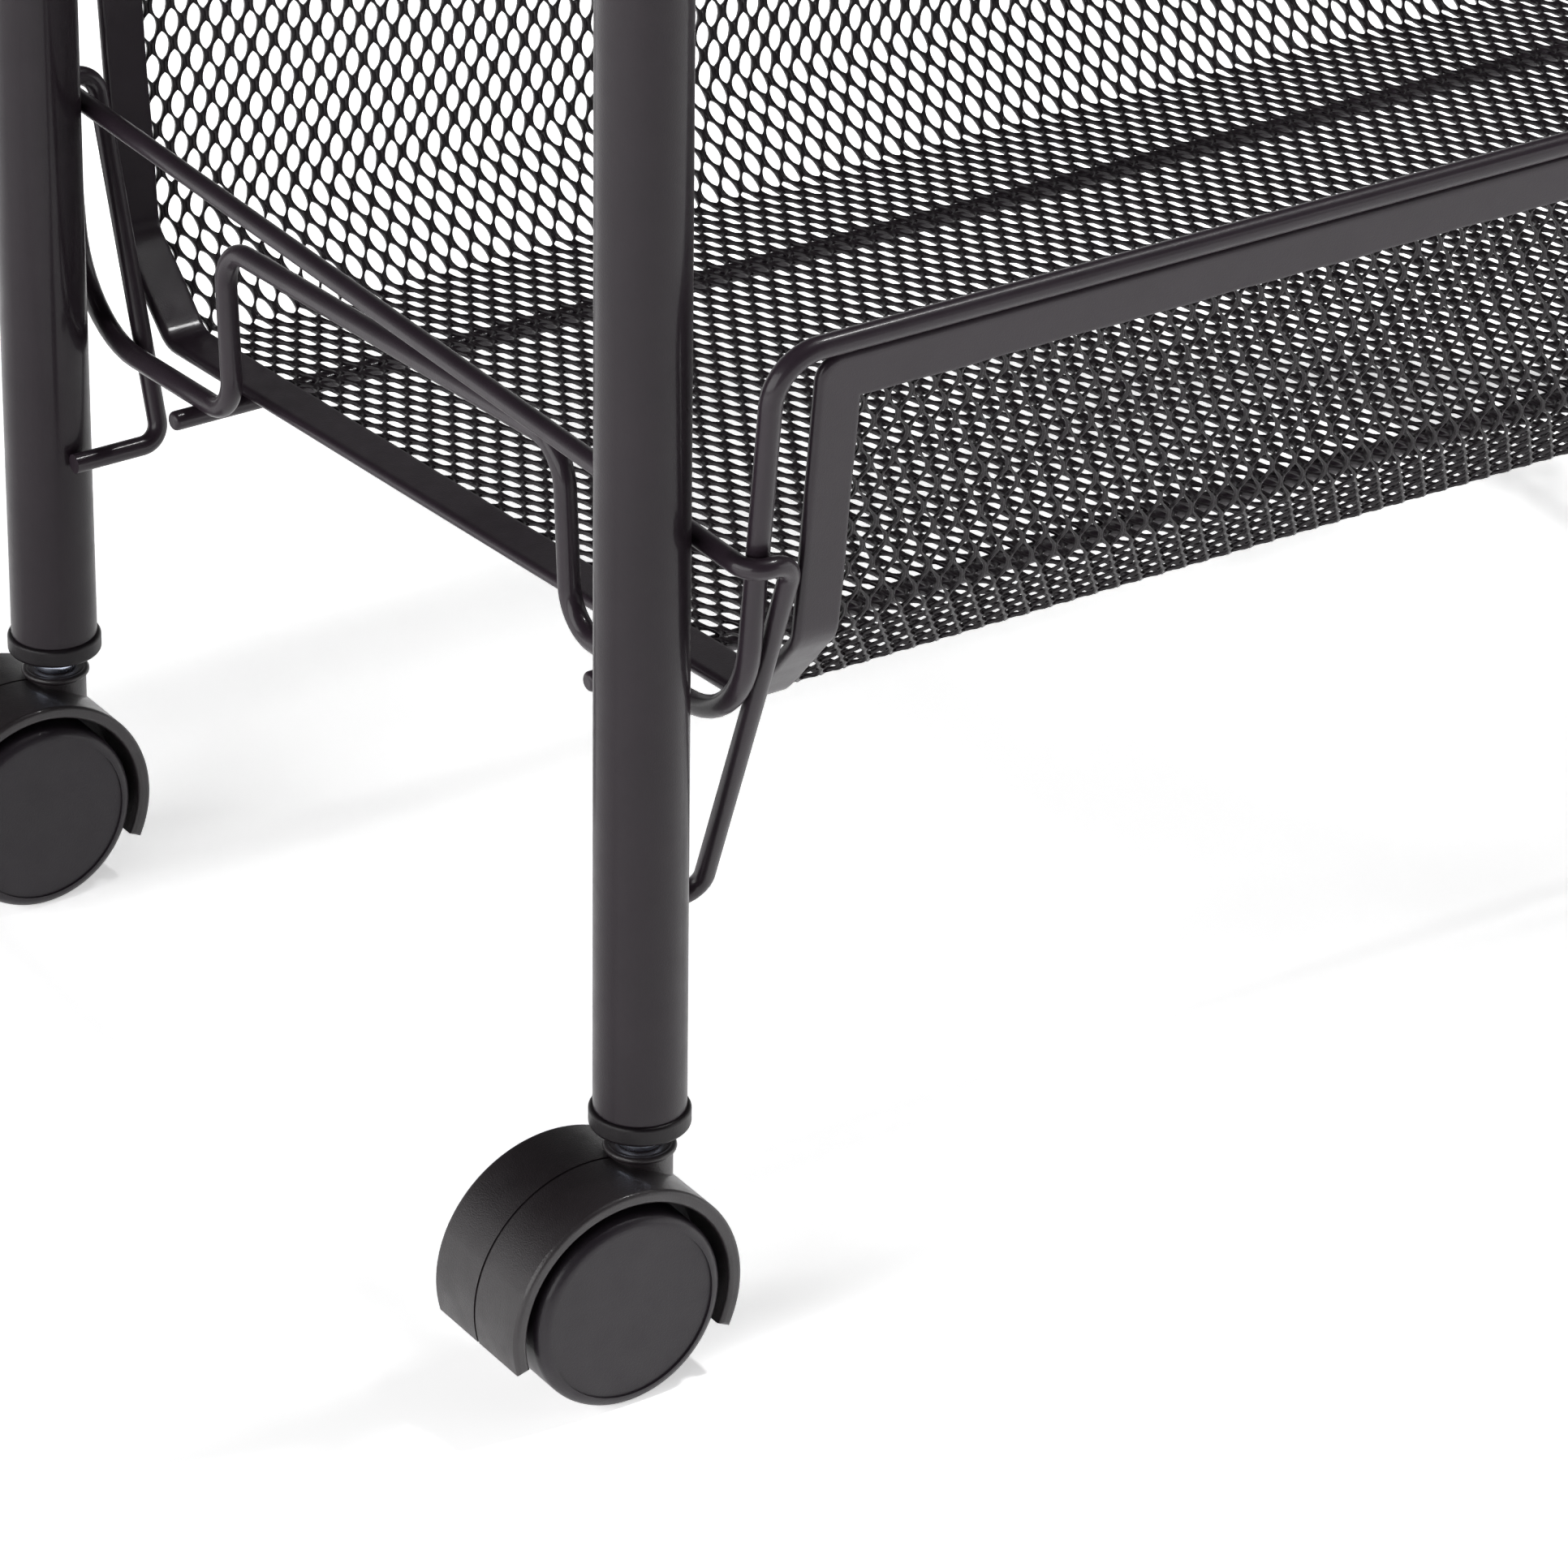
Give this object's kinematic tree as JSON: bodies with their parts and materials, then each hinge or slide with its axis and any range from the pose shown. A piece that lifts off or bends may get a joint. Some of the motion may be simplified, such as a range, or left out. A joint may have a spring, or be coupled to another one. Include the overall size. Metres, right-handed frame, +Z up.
{
  "type": "rolling utility cart",
  "caption": "Tall rolling utility cart: bent-tube side frames, hung mesh trays with bound edges, wire braces and swivelling twin-wheel casters.",
  "frame": {"origin": "on the floor under the middle of the cart's bounding box", "axes": "+Z up, +X along the trays from the left to the right side frame, +Y from the front to the rear"},
  "size_m": [0.62, 0.3322, 0.815],
  "materials": {
    "powder_coat": "satin",
    "mesh_coat": "satin",
    "hood_plastic": "matte",
    "wheel_plastic": "matte",
    "plug_plastic": "matte",
    "zinc_steel": "satin"
  },
  "bodies": {
    "cart": {"side_frame_left": "powder_coat", "side_frame_right": "powder_coat", "side_rail_left_lower": "powder_coat", "side_rail_right_lower": "powder_coat", "tray_mesh_lower": "mesh_coat", "tray_binding_lower": "powder_coat", "tray_loop_lower": "powder_coat", "cross_wire_front_lower": "powder_coat", "cross_wire_rear_lower": "powder_coat", "side_rail_left_middle": "powder_coat", "side_rail_right_middle": "powder_coat", "tray_mesh_middle": "mesh_coat", "tray_binding_middle": "powder_coat", "tray_loop_middle": "powder_coat", "cross_wire_front_middle": "powder_coat", "cross_wire_rear_middle": "powder_coat", "side_rail_left_upper": "powder_coat", "side_rail_right_upper": "powder_coat", "tray_mesh_upper": "mesh_coat", "tray_binding_upper": "powder_coat", "tray_loop_upper": "powder_coat", "cross_wire_front_upper": "powder_coat", "cross_wire_rear_upper": "powder_coat", "tube_plug_at_front_left": "plug_plastic", "caster_stem_at_front_left": "zinc_steel", "tube_plug_at_front_right": "plug_plastic", "caster_stem_at_front_right": "zinc_steel", "tube_plug_at_rear_left": "plug_plastic", "caster_stem_at_rear_left": "zinc_steel", "tube_plug_at_rear_right": "plug_plastic", "caster_stem_at_rear_right": "zinc_steel"},
    "caster_front_left": {"caster_hood_at_front_left": "hood_plastic", "caster_axle_at_front_left": "zinc_steel"},
    "wheel_front_at_front_left": {"caster_wheel_front_at_front_left": "wheel_plastic"},
    "wheel_rear_at_front_left": {"caster_wheel_rear_at_front_left": "wheel_plastic"},
    "caster_front_right": {"caster_hood_at_front_right": "hood_plastic", "caster_axle_at_front_right": "zinc_steel"},
    "wheel_front_at_front_right": {"caster_wheel_front_at_front_right": "wheel_plastic"},
    "wheel_rear_at_front_right": {"caster_wheel_rear_at_front_right": "wheel_plastic"},
    "caster_rear_left": {"caster_hood_at_rear_left": "hood_plastic", "caster_axle_at_rear_left": "zinc_steel"},
    "wheel_front_at_rear_left": {"caster_wheel_front_at_rear_left": "wheel_plastic"},
    "wheel_rear_at_rear_left": {"caster_wheel_rear_at_rear_left": "wheel_plastic"},
    "caster_rear_right": {"caster_hood_at_rear_right": "hood_plastic", "caster_axle_at_rear_right": "zinc_steel"},
    "wheel_front_at_rear_right": {"caster_wheel_front_at_rear_right": "wheel_plastic"},
    "wheel_rear_at_rear_right": {"caster_wheel_rear_at_rear_right": "wheel_plastic"}
  },
  "joints": [
    {"name": "swivel_front_left", "type": "hinge", "parent": "cart", "child": "caster_front_left", "pos_m": [-0.265, -0.13967, 0.06], "axis": [0, 0, 1], "continuous": true},
    {"name": "roll_front_at_front_left", "type": "hinge", "parent": "caster_front_left", "child": "wheel_front_at_front_left", "pos_m": [-0.279, -0.13967, 0.025], "axis": [0, 1, 0], "continuous": true},
    {"name": "roll_rear_at_front_left", "type": "hinge", "parent": "caster_front_left", "child": "wheel_rear_at_front_left", "pos_m": [-0.279, -0.13967, 0.025], "axis": [0, 1, 0], "continuous": true},
    {"name": "swivel_front_right", "type": "hinge", "parent": "cart", "child": "caster_front_right", "pos_m": [0.265, -0.13967, 0.06], "axis": [0, 0, 1], "continuous": true},
    {"name": "roll_front_at_front_right", "type": "hinge", "parent": "caster_front_right", "child": "wheel_front_at_front_right", "pos_m": [0.279, -0.13967, 0.025], "axis": [0, 1, 0], "continuous": true},
    {"name": "roll_rear_at_front_right", "type": "hinge", "parent": "caster_front_right", "child": "wheel_rear_at_front_right", "pos_m": [0.279, -0.13967, 0.025], "axis": [0, 1, 0], "continuous": true},
    {"name": "swivel_rear_left", "type": "hinge", "parent": "cart", "child": "caster_rear_left", "pos_m": [-0.265, 0.13933, 0.06], "axis": [0, 0, 1], "continuous": true},
    {"name": "roll_front_at_rear_left", "type": "hinge", "parent": "caster_rear_left", "child": "wheel_front_at_rear_left", "pos_m": [-0.279, 0.13933, 0.025], "axis": [0, 1, 0], "continuous": true},
    {"name": "roll_rear_at_rear_left", "type": "hinge", "parent": "caster_rear_left", "child": "wheel_rear_at_rear_left", "pos_m": [-0.279, 0.13933, 0.025], "axis": [0, 1, 0], "continuous": true},
    {"name": "swivel_rear_right", "type": "hinge", "parent": "cart", "child": "caster_rear_right", "pos_m": [0.265, 0.13933, 0.06], "axis": [0, 0, 1], "continuous": true},
    {"name": "roll_front_at_rear_right", "type": "hinge", "parent": "caster_rear_right", "child": "wheel_front_at_rear_right", "pos_m": [0.279, 0.13933, 0.025], "axis": [0, 1, 0], "continuous": true},
    {"name": "roll_rear_at_rear_right", "type": "hinge", "parent": "caster_rear_right", "child": "wheel_rear_at_rear_right", "pos_m": [0.279, 0.13933, 0.025], "axis": [0, 1, 0], "continuous": true}
  ]
}
